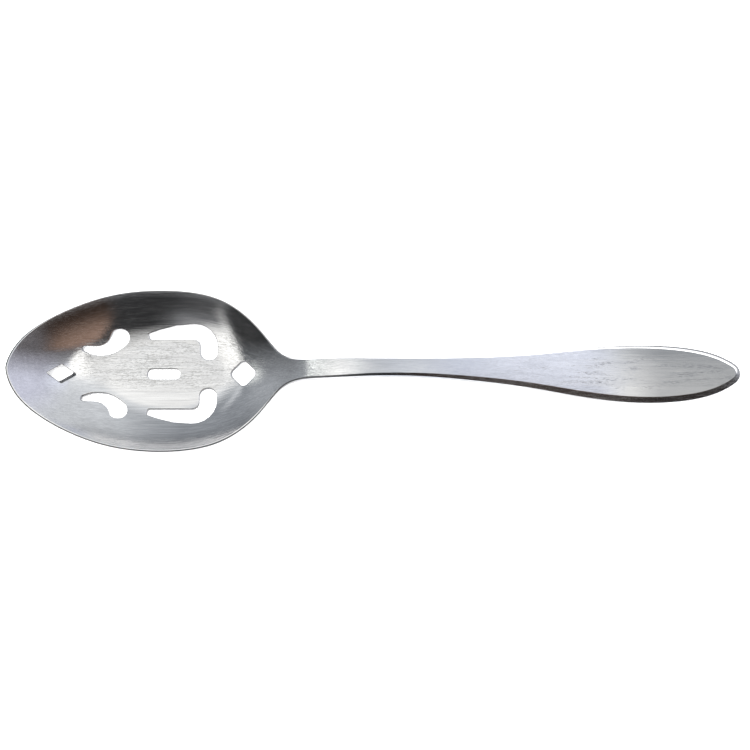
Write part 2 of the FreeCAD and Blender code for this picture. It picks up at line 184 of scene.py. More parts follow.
# %% [markdown]
# ## The flat blank
#
# Seen from above, the outline is three smooth curves a side: the bowl, the hollow of the neck and the
# long leaf of the handle.  Each is a cubic B-spline with a few control points, which a designer would
# also use, because the curve runs on smoothly where the points on both sides of a joint are in line.
#
# A control point is a place along, as a share of the bowl's length or of the way from shank to end,
# and then a half width, as shares of the widths of the bowl, the shank or the handle.

# %% Control points of one side
BOWL_SIDE = (
    (0.0, 0.0),
    (0.0, 0.03),
    (0.02, 0.215),
    (0.266, 0.461),
    (0.476, 0.514),
    (0.689, 0.478),
    (0.814, 0.285),
    (0.853, 0.175),
    (NECK_SHARE, 0.132),
)
NECK_SIDE = ((NECK_SHARE, 0.132, 0.0), (0.897, 0.089, 0.0), (0.921, 0.0, 0.55), (1.0, 0.0, 0.55))
HANDLE_SIDE = (
    (0.0, 0.55, 0.0),
    (0.066, 0.55, 0.0),
    (0.107, 0.5, 0.0),
    (0.231, 0.47, 0.0),
    (0.351, 0.61, 0.0),
    (0.507, 0.0, 0.278),
    (0.639, 0.0, 0.448),
    (0.792, 0.0, 0.535),
    (0.921, 0.0, 0.44),
    (0.984, 0.0, 0.212),
    (1.0, 0.0, 0.1),
    (1.0, 0.0, 0.0),
)
print("control points:", len(BOWL_SIDE), len(NECK_SIDE), len(HANDLE_SIDE))


# %% Cubic B-splines
DEGREE = 3
STEPS_PER_SPAN = 24


def knots_for(count):
    """Evenly spaced knots that hold a cubic spline of count control points at both ends."""
    spans = count - DEGREE
    return [0.0] * DEGREE + [float(i) for i in range(spans + 1)] + [float(spans)] * DEGREE


def spline_point(poles, t):
    """Point of a cubic B-spline at t, by de Boor's repeated blending of four poles."""
    knots = knots_for(len(poles))
    span = min(int(t), len(poles) - DEGREE - 1) + DEGREE
    near = [Vector(poles[span - DEGREE + i]) for i in range(DEGREE + 1)]
    for level in range(1, DEGREE + 1):
        for i in range(DEGREE, level - 1, -1):
            low = knots[span - DEGREE + i]
            high = knots[span + 1 + i - level]
            near[i] = near[i - 1].lerp(near[i], (t - low) / (high - low))
    return near[DEGREE]


def spline(poles):
    steps = (len(poles) - DEGREE) * STEPS_PER_SPAN
    return [spline_point(poles, i / STEPS_PER_SPAN) for i in range(steps + 1)]


def evenly(points, spacing):
    """Points at even distances along a run of points, with both ends kept."""
    reach = [0.0]
    for a, b in zip(points, points[1:]):
        reach.append(reach[-1] + (b - a).length)
    count = max(round(reach[-1] / spacing), 1)
    placed = []
    for i in range(count + 1):
        here = reach[-1] * i / count
        j = min(max(bisect.bisect_right(reach, here) - 1, 0), len(points) - 2)
        placed.append(points[j].lerp(points[j + 1], (here - reach[j]) / (reach[j + 1] - reach[j])))
    return placed


# %% Outline
RIM_SPACING = 0.45
bowl_poles = [(TIP + a * BOWL_LENGTH, b * BOWL_WIDTH) for a, b in BOWL_SIDE]
neck_poles = [(TIP + a * BOWL_LENGTH, b * BOWL_WIDTH + c * SHANK_WIDTH) for a, b, c in NECK_SIDE]
handle_poles = [(SHANK + a * (END - SHANK), b * SHANK_WIDTH + c * HANDLE_WIDTH) for a, b, c in HANDLE_SIDE]
one_side = spline(bowl_poles)[:-1] + spline(neck_poles)[:-1] + spline(handle_poles)
one_side = evenly(one_side, RIM_SPACING)
near_side = [Vector((p.x, -p.y)) for p in one_side]
outline = near_side + one_side[-2:0:-1]
print("outline: %d points, %.1f mm wide" % (len(outline), 2 * max(p.y for p in outline)))

# %% [markdown]
# ## The piercings
#
# A piercing is a straight-sided figure with its corners rounded: the slot and the diamonds have four
# corners, the hooks seven and the commas eight.  One function draws them all from a list of corners,
# each with its place along, its place across and its radius.  Round a piercing the points run
# clockwise, and round the outline anticlockwise, so that the metal is always on the left.

# %% Figures with rounded corners
PIERCE_SPACING = 0.4
SHORTEST = 1e-4
ARC_STEP = math.radians(15)


def rounded(corners):
    """The closed figure through corners (x, y, radius), each rounded by an arc."""
    loop = []
    count = len(corners)
    for i, (x, y, radius) in enumerate(corners):
        here = Vector((x, y))
        back = (Vector(corners[i - 1][:2]) - here).normalized()
        ahead = (Vector(corners[(i + 1) % count][:2]) - here).normalized()
        half = back.angle(ahead) / 2
        centre = here + (back + ahead).normalized() * radius / math.sin(half)
        start = here + back * radius / math.tan(half) - centre
        turn = math.pi - 2 * half
        if back.cross(ahead) > 0:
            turn = -turn
        steps = max(math.ceil(abs(turn) / ARC_STEP), 2)
        for k in range(steps + 1):
            angle = turn * k / steps
            arm = Vector((
                start.x * math.cos(angle) - start.y * math.sin(angle),
                start.x * math.sin(angle) + start.y * math.cos(angle),
            ))
            loop.append(centre + arm)
    return subdivided(loop, PIERCE_SPACING)


def subdivided(loop, spacing):
    """The loop with its long straight runs divided."""
    full = []
    for a, b in zip(loop, loop[1:] + loop[:1]):
        parts = max(math.ceil((b - a).length / spacing), 1)
        if (b - a).length > SHORTEST:
            full += [a.lerp(b, k / parts) for k in range(parts)]
    return full


# %% Corners of each kind of piercing
def slot_figure(middle, length, width, radius):
    x0, x1, y = middle - length / 2, middle + length / 2, width / 2
    return [(x0, -y, radius), (x1, -y, radius), (x1, y, radius), (x0, y, radius)]


def diamond_figure(middle, length, width, radius, off=0.0):
    """A diamond; off is how far it lies beside the axis, where the punch was set so."""
    x0, x1, y = middle - length / 2, middle + length / 2, width / 2
    return [(x0, off, radius), (middle, off - y, radius), (x1, off, radius), (middle, off + y, radius)]


def hook_figure(point, length, inner, arm, stem, end, bend):
    """An arm from its point along the bowl, turned at the bend into a stem that ends near the axis."""
    back, outer, front = point + length, inner + arm, point + length - stem
    return [
        (point, inner + 0.38 * arm, 0.11 * arm),
        (point + 0.03 * length, inner, 0.11 * arm),
        (front, inner, 0.4 * stem),
        (front, end, 0.46 * stem),
        (back, end, 0.46 * stem),
        (back, outer, bend),
        (point + 0.4 * length, outer, 7.0 * arm),
    ]


def comma_figure(tip, length, inner, tail, head, reach):
    """A tail from its tip along the bowl, which swells into a head that reaches outwards."""
    back, outer = tip + length, inner + tail
    return [
        (tip, outer, 0.3 * tail),
        (tip, inner + 0.45 * tail, 0.3 * tail),
        (tip + 0.22 * length, inner, 1.2 * head),
        (tip + 0.62 * length, inner, 1.9 * head),
        (back, inner + 0.5 * (reach - inner), 0.66 * head),
        (back, reach, 0.48 * head),
        (back - head, reach, 0.48 * head),
        (tip + 0.52 * length, outer, head),
    ]


def mirrored(loop):
    return [Vector((p.x, -p.y)) for p in reversed(loop)]


# %% Piercings
slot = rounded(slot_figure(middle=TIP + 43.2, length=9.7, width=3.1, radius=1.4))
front_diamond = rounded(diamond_figure(TIP + 13.7, length=8.2, width=5.7, radius=0.35, off=-0.35))
back_diamond = rounded(diamond_figure(TIP + 66.7, length=8.7, width=8.4, radius=1.5))
hook = rounded(
    hook_figure(point=TIP + 38.2, length=20.8, inner=10.35, arm=4.4, stem=5.2, end=4.2, bend=6.8)
)
comma = rounded(comma_figure(tip=TIP + 19.2, length=13.6, inner=5.5, tail=2.7, head=4.6, reach=13.2))

# Each with its punch's lean in degrees: its upper end back towards the handle, and to the near side
PIERCINGS = (
    (slot, 0.0, 0.0),
    (front_diamond, 39.0, 32.0),
    (back_diamond, -14.0, 0.0),
    (hook, 0.0, 11.0),
    (mirrored(hook), 0.0, -11.0),
    (comma, 0.0, 11.0),
    (mirrored(comma), 0.0, -11.0),
)


def area_of(loop):
    return sum(a.cross(b) for a, b in zip(loop, loop[1:] + loop[:1])) / 2


def clockwise(loop):
    return loop[::-1] if area_of(loop) > 0 else loop


print("piercings:", len(PIERCINGS), "areas in mm2:", [round(abs(area_of(p[0])), 1) for p in PIERCINGS])

# %% [markdown]
# ## Rounded edges
#
# No edge of a spoon is sharp.  The rim of the bowl is ground to a narrow land, the handle has bevels
# that widen towards its end, and the piercings are deburred.  A Bevel modifier could round them, but it
# would keep one profile all the way; here each edge is a set of rings instead, which start on the face,
# roll over, go down the wall and roll under.  Each point keeps how deep it lies in the sheet, as a share
# of the thickness plus a length in from that face, and how raw or polished it is.  Raw edges are painted
# dark, for the shears' rough wall and partly as painted shade; polished ones are painted light, for the
# polish and partly as a painted highlight.

# %% Edge rolls
RAW_FADE = 0.4
POLISH_FADE = 0.08


def step_up(low, high, x):
    """0 below low, 1 above high, and a smooth ramp between them, for a plain number."""
    t = min(max((x - low) / (high - low), 0.0), 1.0)
    return t * t * (3 - 2 * t)


class Roll:
    """How an edge turns from a face to the wall at one point.

    It is width wide and height deep; flat is 1 for a quarter of an ellipse and 2 for a chamfer.  Raw
    says how dark the wall is painted, for the shears' rough edge and partly as painted shade, raw_from
    how far down the roll that starts, and bright how far the roll before it is painted light, for its
    polish and partly as a painted highlight.
    """

    def __init__(self, width, height, flat, raw, raw_from, bright=0.0):
        self.width, self.height, self.flat = width, height, flat
        self.raw, self.raw_from, self.bright = raw, raw_from, bright

    def at(self, share):
        """Inset, depth and finish at a share of the way round: over 0 is raw and painted dark, under 0
        polished and painted light.
        """
        angle = math.pi / 2 * share
        inset = self.width * (1 - math.sin(angle) ** self.flat)
        depth = self.height * (1 - max(math.cos(angle), 0.0) ** self.flat)
        raw = step_up(self.raw_from, self.raw_from + RAW_FADE, share)
        polish = step_up(0.0, POLISH_FADE, share) * (1 - raw)
        return inset, depth, self.raw * raw - self.bright * polish


# %% The flat blank, point by point
MARGIN = 0.1
NO_LEAN = (0.0, 0.0, 0.0)


def lefts(loop):
    """Unit vectors to the left of a loop, into the metal."""
    sides = []
    for before, after in zip(loop[-1:] + loop[:-1], loop[1:] + loop[:1]):
        run = (after - before).normalized()
        sides.append(Vector((-run.y, run.x)))
    return sides


class Blank:
    """Points and faces of the flat blank.

    Each point has a place, a share of the sheet's depth and a drop from there, the lean of its punch,
    and how its edge is painted: dark where raw, partly as painted shade, and light where polished,
    partly as a painted highlight.
    """

    def __init__(self):
        self.places, self.shares, self.drops, self.leans, self.finishes_and_shades = [], [], [], [], []
        self.faces = []

    def point(self, place, share, drop=0.0, lean=NO_LEAN, finish_and_shade=0.0):
        self.places.append((place.x * MM, place.y * MM, 0.0))
        self.shares.append(share)
        self.drops.append(drop * MM)
        self.leans.append(lean)
        self.finishes_and_shades.append(finish_and_shade)
        return len(self.places) - 1

    def ring(self, loop, turns, share, lean):
        """A ring of points set in from the loop; turns holds inset, drop and the painted edge tone for
        each.
        """
        placed = []
        for place, side, (inset, drop, finish_and_shade) in zip(loop, lefts(loop), turns):
            placed.append(self.point(place + side * inset, share, drop, lean, finish_and_shade))
        return placed

    def strip(self, inner, outer):
        """Faces between two rings."""
        count = len(inner)
        for i in range(count):
            j = (i + 1) % count
            self.faces.append((outer[i], outer[j], inner[j], inner[i]))


def edge_rings(blank, loop, upper, lower, steps, lean=NO_LEAN):
    """Rings from the upper face round the edge to the lower face; returns the first and the last.

    Upper and lower hold a Roll for each point of the loop.  The first ring lies on the face just before
    the roll, so that the shading turns over the roll alone.
    """
    before = [(roll.width + MARGIN, 0.0, 0.0) for roll in upper]
    rings = [blank.ring(loop, before, 0.0, lean)]
    for k in range(steps + 1):
        turns = [roll.at(k / steps) for roll in upper]
        rings.append(blank.ring(loop, turns, 0.0, lean))
    for k in range(steps, -1, -1):
        turns = [(inset, -depth, finish_and_shade) for inset, depth, finish_and_shade in (roll.at(k / steps) for roll in lower)]
        rings.append(blank.ring(loop, turns, 1.0, lean))
    for inner, outer in zip(rings, rings[1:]):
        blank.strip(inner, outer)
    return rings[0], rings[-1]


# %% [markdown]
# The rim of the bowl ends in a narrow land, ground level with the table: on a wall that rises at about
# forty-five degrees that is a chamfer a little less deep than wide.  Along the shank and handle it is a
# bevel.  On the near side it widens soon and catches the dark of the studio; on the far side it is
# steeper, widens towards the end and is bright, with a thin raw line outside.  The raw parts are painted
# dark, for the shears and partly as painted shade; the polished land and far bevel are painted light,
# for polish and partly as a painted highlight.

# %% Rolls of the rim, the handle and the piercings
RIM_LAND = 0.6
NECK_LAND = 0.26
FAR_LAND = 0.28
LAND_SLOPE = 0.72
LAND_FLAT = 1.9
NEAR_BEVEL = (0.55, 1.6)
NEAR_SLOPE = 0.8
FAR_BEVEL = (0.4, 1.6)
FAR_SLOPE = 0.96
CHAMFER = 2.0

# Where one roll passes into another, along the spoon and across it
TO_FAR_RIM = (0.0, 12.0)
PAST_TIP = (TIP, TIP + 14.0)
TO_NECK = (TIP + 60.5, TIP + 82.5)
NEAR_WIDENS = (SHANK - 1.5, END - 31.5)
FAR_WIDENS = (END - 61.5, END + 5.5)
TO_FAR_BEVEL = (-2.4, 2.4)
TO_BEVEL = (NECK - 2.0, SHANK)

# How raw and dark the edge is painted, partly as painted shade, how far round it that starts, and how
# light it is painted before, for polish and partly as a painted highlight
RIM_FINISH_AND_SHADE = (1.0, 0.2, 0.5)
FAR_RIM_FINISH_AND_SHADE = (0.75, 0.1, 0.0)
NEAR_FINISH_AND_SHADE = (0.15, -0.1, 0.0)
FAR_FINISH_AND_SHADE = (0.9, 0.3, 1.0)


def mixed(a, b, share):
    return tuple(p + (q - p) * share for p, q in zip(a, b))


def bevel_at(width, slope, finish_and_shade):
    return (width, width * slope, CHAMFER) + finish_and_shade


def rim_roll(place):
    """Upper roll at a point of the outline."""
    far_rim = step_up(*TO_FAR_RIM, place.y) * step_up(*PAST_TIP, place.x)
    land = RIM_LAND + (NECK_LAND - RIM_LAND) * step_up(*TO_NECK, place.x)
    land = min(land, RIM_LAND + (FAR_LAND - RIM_LAND) * far_rim)
    land = (land, land * LAND_SLOPE, LAND_FLAT) + mixed(RIM_FINISH_AND_SHADE, FAR_RIM_FINISH_AND_SHADE, far_rim)
    near = NEAR_BEVEL[0] + (NEAR_BEVEL[1] - NEAR_BEVEL[0]) * step_up(*NEAR_WIDENS, place.x)
    far = FAR_BEVEL[0] + (FAR_BEVEL[1] - FAR_BEVEL[0]) * step_up(*FAR_WIDENS, place.x)
    near = bevel_at(near, NEAR_SLOPE, NEAR_FINISH_AND_SHADE)
    far = bevel_at(far, FAR_SLOPE, FAR_FINISH_AND_SHADE)
    bevel = mixed(near, far, step_up(*TO_FAR_BEVEL, place.y))
    return Roll(*mixed(land, bevel, step_up(*TO_BEVEL, place.x)))


def deburred(size, raw_from):
    """A small, nearly round roll, raw from a share of the way on: painted dark there, for the rough wall
    and partly as painted shade.
    """
    return Roll(width=size, height=size, flat=1.4, raw=0.9, raw_from=raw_from)


# The roll under the edge is painted dark from the start: painted shade under the rim, and the rough wall
UNDER = deburred(0.22, 0.0)
PIERCE_UPPER = deburred(0.13, 0.5)
PIERCE_LOWER = deburred(0.1, 0.5)

# %% Rings round the blank and its piercings
RIM_STEPS = 8
PIERCE_STEPS = 4

blank = Blank()
upper = [rim_roll(place) for place in outline]
lower = [UNDER] * len(outline)
first, last = edge_rings(blank, outline, upper, lower, RIM_STEPS)
upper_rings, under_rings = [first], [last]
for figure, lean_back, lean_near in PIERCINGS:
    loop = clockwise(figure)
    lean = (math.tan(math.radians(lean_back)), -math.tan(math.radians(lean_near)), 0.0)
    upper = [PIERCE_UPPER] * len(loop)
    lower = [PIERCE_LOWER] * len(loop)
    first, last = edge_rings(blank, loop, upper, lower, PIERCE_STEPS, lean)
    upper_rings.append(first)
    under_rings.append(last)
print("edge rings: %d points, %d faces" % (len(blank.places), len(blank.faces)))

# %% [markdown]
# ## Upper and lower face
#
# Between the edge rings the sheet is filled with small, nearly equal triangles.  Filling it with a
# few large faces would do for a flat plate, but this one is pressed afterwards and mirrors its
# surroundings, so the points have to be dense and even.  A constrained Delaunay triangulation keeps
# every edge of the rings and leaves the piercings open.

# %% Points of the faces
GRID = 0.62
CLEAR = 0.6 * GRID


def half_width(x):
    """Half the blank's width at x, from the points of one side."""
    along = [p.x for p in one_side]
    j = min(max(bisect.bisect_right(along, x) - 1, 0), len(along) - 2)
    a, b = one_side[j], one_side[j + 1]
    return a.y + (b.y - a.y) * (x - a.x) / max(b.x - a.x, 1e-6)


def grid_points():
    """Points in staggered columns, the same on both sides of the axis."""
    columns = int(LENGTH / (GRID * math.sqrt(3) / 2))
    points = []
    for i in range(1, columns):
        x = TIP + LENGTH * i / columns
        reach = half_width(x)
        shift = GRID / 2 * (i % 2)
        rows = int((reach - shift) / GRID)
        for j in range(rows + 1):
            y = shift + j * GRID
            points.append(Vector((x, y)))
            if y > 0:
                points.append(Vector((x, -y)))
    return points


def clear_of(places, points):
    """The points that don't crowd any of the places."""
    tree = kdtree.KDTree(len(places))
    for i, place in enumerate(places):
        tree.insert((place.x, place.y, 0.0), i)
    tree.balance()
    return [p for p in points if tree.find((p.x, p.y, 0.0))[2] > CLEAR]


def inside(place, loop):
    """Whether a place lies in a closed loop: a ray to the right crosses it an odd number of times."""
    within = False
    for a, b in zip(loop, loop[1:] + loop[:1]):
        if (a.y > place.y) != (b.y > place.y):
            if place.x < a.x + (b.x - a.x) * (place.y - a.y) / (b.y - a.y):
                within = not within
    return within


def open_at(place, loops):
    """Whether a place lies in one of the piercings, which all end before the neck."""
    return place.x < NECK and any(inside(place, loop) for loop in loops)


# %% Faces between the rings
SAME_POINT = 1e-5
ring_points = {index for ring in upper_rings + under_rings for index in ring}


def flat_places(indices):
    return [Vector(blank.places[index][:2]) / MM for index in indices]


def ring_links(rings):
    """The edges of the rings, between points that are counted through all of them."""
    links = []
    start = 0
    for ring in rings:
        count = len(ring)
        links += [(start + i, start + (i + 1) % count) for i in range(count)]
        start += count
    return links


def fill(rings, share, upwards):
    """Triangles between the rings, joined to the rings' own points."""
    rim_points = [index for ring in rings for index in ring]
    rim = flat_places(rim_points)
    holes = [flat_places(ring) for ring in rings[1:]]
    inner = [place for place in clear_of(rim, grid_points()) if not open_at(place, holes)]
    places, _, faces, sources, _, _ = delaunay_2d_cdt(rim + inner, ring_links(rings), [], 1, SAME_POINT)
    index_of = {}
    for number, source in enumerate(sources):
        if min(source) < len(rim_points):
            index_of[number] = rim_points[min(source)]
    for face in faces:
        on_rings = all(number in index_of and index_of[number] in ring_points for number in face)
        middle = sum((places[number] for number in face), Vector((0.0, 0.0))) / len(face)
        if on_rings and open_at(middle, holes):
            continue
        for number in face:
            if number not in index_of:
                index_of[number] = blank.point(places[number], share)
        corners = [index_of[number] for number in face]
        a, b, c = (places[number] for number in face[:3])
        if ((b - a).cross(c - a) > 0) != upwards:
            corners.reverse()
        blank.faces.append(tuple(corners))


fill(upper_rings, 0.0, True)
fill(under_rings, 1.0, False)
print("blank: %d points, %d faces" % (len(blank.places), len(blank.faces)))


# %% Blank as a mesh
def add_values(mesh, name, kind, values, field):
    layer = mesh.attributes.new(name, kind, "POINT")
    layer.data.foreach_set(field, values)


flat_mesh = bpy.data.meshes.new("flat_blank")
flat_mesh.from_pydata(blank.places, [], blank.faces)
add_values(flat_mesh, "share", "FLOAT", blank.shares, "value")
add_values(flat_mesh, "drop", "FLOAT", blank.drops, "value")
add_values(flat_mesh, "finish_and_shade", "FLOAT", blank.finishes_and_shades, "value")
add_values(flat_mesh, "lean", "FLOAT_VECTOR", [c for lean in blank.leans for c in lean], "vector")
spoon = bpy.data.objects.new("brushed_spoon", flat_mesh)
bpy.context.scene.collection.objects.link(spoon)
print("flat blank: %d vertices, %d faces" % (len(flat_mesh.vertices), len(flat_mesh.polygons)))

# %% [markdown]
# ## Pressing
#
# The press is a Geometry Nodes tree, because the form follows a rule: the bowl has a flat oval floor
# and a wall that steepens outwards, the shank is an arch that comes down to the table, and where the
# two meet the lower one rolls over into the other.  The rule is a group of its own, since the press
# asks for it five times: at the point, and a step to each side to find the slope, which says how much
# thicker the sheet is when it is measured upright.

# %% Sizes that the press needs, in metres or as plain ratios
STEEPEST_DROP = 0.32
END_RISE = 1.5
CREST_SLOPES = (0.33, 0.0, -0.24, 0.0, 0.12)
CREST_LINE = (
    (SHANK, CREST_HEIGHT - CREST_SLOPES[0] * (CREST - SHANK) / 2),
    (CREST, CREST_HEIGHT),
    (STEEPEST, CREST_HEIGHT - STEEPEST_DROP * (CREST_HEIGHT - DIP_HEIGHT)),
    (DIP, DIP_HEIGHT),
    (END, DIP_HEIGHT + END_RISE),
)
PRESS = {
    "Widest": WIDEST * MM,
    "Reach to tip": REACH_TO_TIP * MM,
    "Reach to back": REACH_TO_BACK * MM,
    "Half width": BOWL_WIDTH / 2 * MM,
    "Floor share": 0.4,
    "Floor height": 1.24 * MM,
    "Rim rise": 7.4 * MM,
    "Tip lift": 0.7,
    "Neck blend": 2.0 * MM,
    "Curl radius": 25.0 * MM,
    "Crown radius": 110.0 * MM,
    "Bowl sheet": 1.3 * MM,
    "Shank sheet": 3.5 * MM,
    "Handle sheet": 2.2 * MM,
}
SWELL = ((SHANK - 16.0) * MM, (SHANK + 6.0) * MM)
TAPER = ((CREST + 6.0) * MM, (DIP - 10.0) * MM)
CROWN_FADE = ((SHANK - 8.0) * MM, (SHANK + 8.0) * MM)
STEP = 0.1 * MM
print("height of the crest line in mm:", [round(z, 1) for x, z in CREST_LINE])


# %% The form as a node group
def new_group(name, inputs, output):
    """An empty node group; inputs gives each input's kind and value."""
    group = bpy.data.node_groups.new(name, "GeometryNodeTree")
    for title, (kind, value) in inputs.items():
        socket = group.interface.new_socket(title, in_out="INPUT", socket_type=kind)
        if value is not None:
            socket.default_value = value
    title, kind = output
    group.interface.new_socket(title, in_out="OUTPUT", socket_type=kind)
    return group


def group_inputs(tree, names):
    """Terms for the inputs of a group, each from a Group Input node of its own."""
    return {name: tree.node("NodeGroupInput", out=name) for name in names}


def crest_height(x):
    """The line along the top of shank and handle: cubic spans that share height and slope."""
    height = CREST_LINE[0][1] * MM
    ends = zip(CREST_LINE, CREST_LINE[1:], CREST_SLOPES, CREST_SLOPES[1:])
    for (x0, z0), (x1, z1), slope0, slope1 in ends:
        span = (x1 - x0) * MM
        t = clamp((x - x0 * MM) / span)
        rest = 1 - t
        rise = (z1 - z0) * MM * (3 - 2 * t) * t * t
        ease = span * t * rest * (slope0 * rest - slope1 * t)
        height = height + rise + ease
    return height


def dish_height(tree, x, y, size):
    """The bowl: a flat oval floor, and a wall that steepens outwards and lifts at the tip."""
    off = x - size["Widest"]
    to_tip = tree.math("MINIMUM", off, 0.0) / size["Reach to tip"]
    to_back = tree.math("MAXIMUM", off, 0.0) / size["Reach to back"]
    side = y / size["Half width"]
    ratio = tree.math("SQRT", to_tip * to_tip + to_back * to_back + side * side)
    wall = tree.math("MAXIMUM", ratio - size["Floor share"], 0.0) / (1 - size["Floor share"])
    lift = 1 + size["Tip lift"] * to_tip * to_tip
    return size["Floor height"] + size["Rim rise"] * lift * wall * wall


def arch_height(tree, x, size):
    """The shank and handle; before the shank's root the arch curls up, out of the bowl's way."""
    behind = tree.math("MAXIMUM", x, SHANK * MM)
    ahead = behind - x
    curl = ahead * ahead / (2 * size["Curl radius"])
    return crest_height(behind) - CREST_SLOPES[0] * ahead + curl


def form_group():
    """The height of the upper face over any place of the blank."""
    inputs = {"X": ("NodeSocketFloat", 0.0), "Y": ("NodeSocketFloat", 0.0)}
    inputs.update({name: ("NodeSocketFloat", value) for name, value in PRESS.items()})
    group = new_group("form of the spoon", inputs, ("Height", "NodeSocketFloat"))
    tree = Tree(group)
    size = group_inputs(tree, inputs)

    dish = dish_height(tree, size["X"], size["Y"], size)
    arch = arch_height(tree, size["X"], size)
    blend = size["Neck blend"]
    apart = tree.math("ABSOLUTE", dish - arch)
    near = tree.math("MAXIMUM", blend - apart, 0.0) / blend
    height = tree.math("MINIMUM", dish, arch) - near * near * blend / 4
    tree.node("NodeGroupOutput", None, {"Height": height})
    return group


form = form_group()
print("form of the spoon:", len(form.nodes), "nodes")


# %% The press
def press_tree(form):
    """Bends the blank: each point is lowered by its depth in the sheet and raised to the form."""
    inputs = {"Geometry": ("NodeSocketGeometry", None), "Steel": ("NodeSocketMaterial", None)}
    inputs.update({name: ("NodeSocketFloat", value) for name, value in PRESS.items()})
    press = new_group("press the blank", inputs, ("Geometry", "NodeSocketGeometry"))
    tree = Tree(press)
    size = group_inputs(tree, inputs)

    def formed(x, y):
        values = {"X": x, "Y": y}
        values.update({name: size[name] for name in PRESS})
        return tree.node("GeometryNodeGroup", {"node_tree": form}, values)

    def kept(name, kind="FLOAT"):
        return tree.node("GeometryNodeInputNamedAttribute", {"data_type": kind}, {"Name": name})

    place = tree.node("GeometryNodeInputPosition")
    lean = kept("lean", "FLOAT_VECTOR")
    flat_x = part(place, "X")
    swell = between(flat_x, *SWELL)
    taper = between(flat_x, *TAPER)
    bowl, shank, handle = size["Bowl sheet"], size["Shank sheet"], size["Handle sheet"]
    sheet = bowl + (shank - bowl) * swell + (handle - shank) * taper
    depth = kept("share") * sheet + kept("drop")

    x = flat_x - depth * part(lean, "X")
    y = part(place, "Y") - depth * part(lean, "Y")
    slope_x = (formed(x + STEP, y) - formed(x - STEP, y)) / (2 * STEP)
    slope_y = (formed(x, y + STEP) - formed(x, y - STEP)) / (2 * STEP)
    upright = tree.math("SQRT", 1 + slope_x * slope_x + slope_y * slope_y)
    fade = between(flat_x, *CROWN_FADE) * (1 - kept("share"))
    crown = fade * y * y / (2 * size["Crown radius"])
    height = tree.math("MAXIMUM", formed(x, y) - crown - depth * upright, 0.0)

    spot = tree.node("ShaderNodeCombineXYZ", None, {"X": x, "Y": y, "Z": height})
    moved = tree.node("GeometryNodeSetPosition", None, {"Geometry": size["Geometry"], "Position": spot})
    real = tree.node("GeometryNodeRealizeInstances", None, {"Geometry": moved})
    steel = tree.node("GeometryNodeSetMaterial", None, {"Geometry": real, "Material": size["Steel"]})
    tree.node("NodeGroupOutput", None, {"Geometry": steel})
    return press


press = press_tree(form)
print("press:", len(press.nodes), "nodes")

# %% [markdown]
# ## Brushed steel
#
# The spoon was brushed lengthwise, on a belt, and never polished.  A brushed surface mirrors along the
# brush lines and blurs across them, and the anisotropy of the shader could imitate that; but here the
# lines show, so they are made: long thin noise that tilts the surface a little and draws in with the
# neck.  A rough coat of uneven weight gives the haze over the mirror.  Years of use left fine scuffs on
# the floor of the bowl and pits on the handle.  The shank and the end of the handle are painted darker,
# which is painted shade.  The attribute of the blank says where an edge is painted dark, for its raw
# shearing and partly as painted shade, and where it is painted light, for polish and partly as a painted
# highlight.

# %% Tones of the steel
STEEL = (0.76, 0.76, 0.775, 1.0)
SOFT_STEEL = (0.56, 0.56, 0.575, 1.0)
# Raw edges and walls: dark for the shears' rough finish, and partly painted shade where they mirror the
# shaded floor
RAW_EDGE_AND_SHADE_STEEL = (0.07, 0.073, 0.08, 1.0)
# Polished land and far bevel: light for polish, and partly a painted highlight
POLISH_AND_HIGHLIGHT_STEEL = (0.90, 0.90, 0.91, 1.0)
# Painted shade on the shank, darker and bluer than the steel
SHADED_STEEL = (0.36, 0.38, 0.43, 1.0)
# Pits on the handle, and painted shade at its end
PITTED_AND_SHADED_STEEL = (0.27, 0.275, 0.29, 1.0)
SCUFF_STEEL = (0.33, 0.325, 0.32, 1.0)

# Where the finish changes along the spoon, and the oval of scuffs on the floor of the bowl
DRAWN_IN = (TIP + 48.5, TIP + 94.5)
# Where the painted shade on the shank comes in and goes out
SHADE_STARTS = (SHANK + 4.5, SHANK + 23.5)
SHADE_ENDS = (SHANK + 24.5, SHANK + 61.5)
PITS_START = (END - 76.5, END - 46.5)
PITS_ACROSS = (2.0, 7.5)
# Where the painted shade at the handle's end comes in
END_SHADE = (END - 49.5, END - 18.5)
SCUFFED_LENGTH = 28.0
SCUFFED_WIDTH = 8.5
SCUFFED_OFF = 4.0


def streaks(tree, place, length, width, detail=2.0, seed=0.0):
    """Noise drawn out along the spoon: length and width of its streaks in millimetres."""
    x, y, z = place
    inputs = {"X": x / length + seed, "Y": y / width, "Z": z / width}
    vector = tree.node("ShaderNodeCombineXYZ", None, inputs)
    inputs = {"Vector": vector, "Scale": 1.0, "Detail": detail, "Roughness": 0.55}
    return tree.node("ShaderNodeTexNoise", {"noise_dimensions": "3D"}, inputs)


def blend_colour(tree, share, a, b):
    """Colour a where share is 0, and b where it is 1; the node's colour sockets go by number."""
    return tree.node("ShaderNodeMix", {"data_type": "RGBA"}, {0: share, 6: a, 7: b}, out=2)


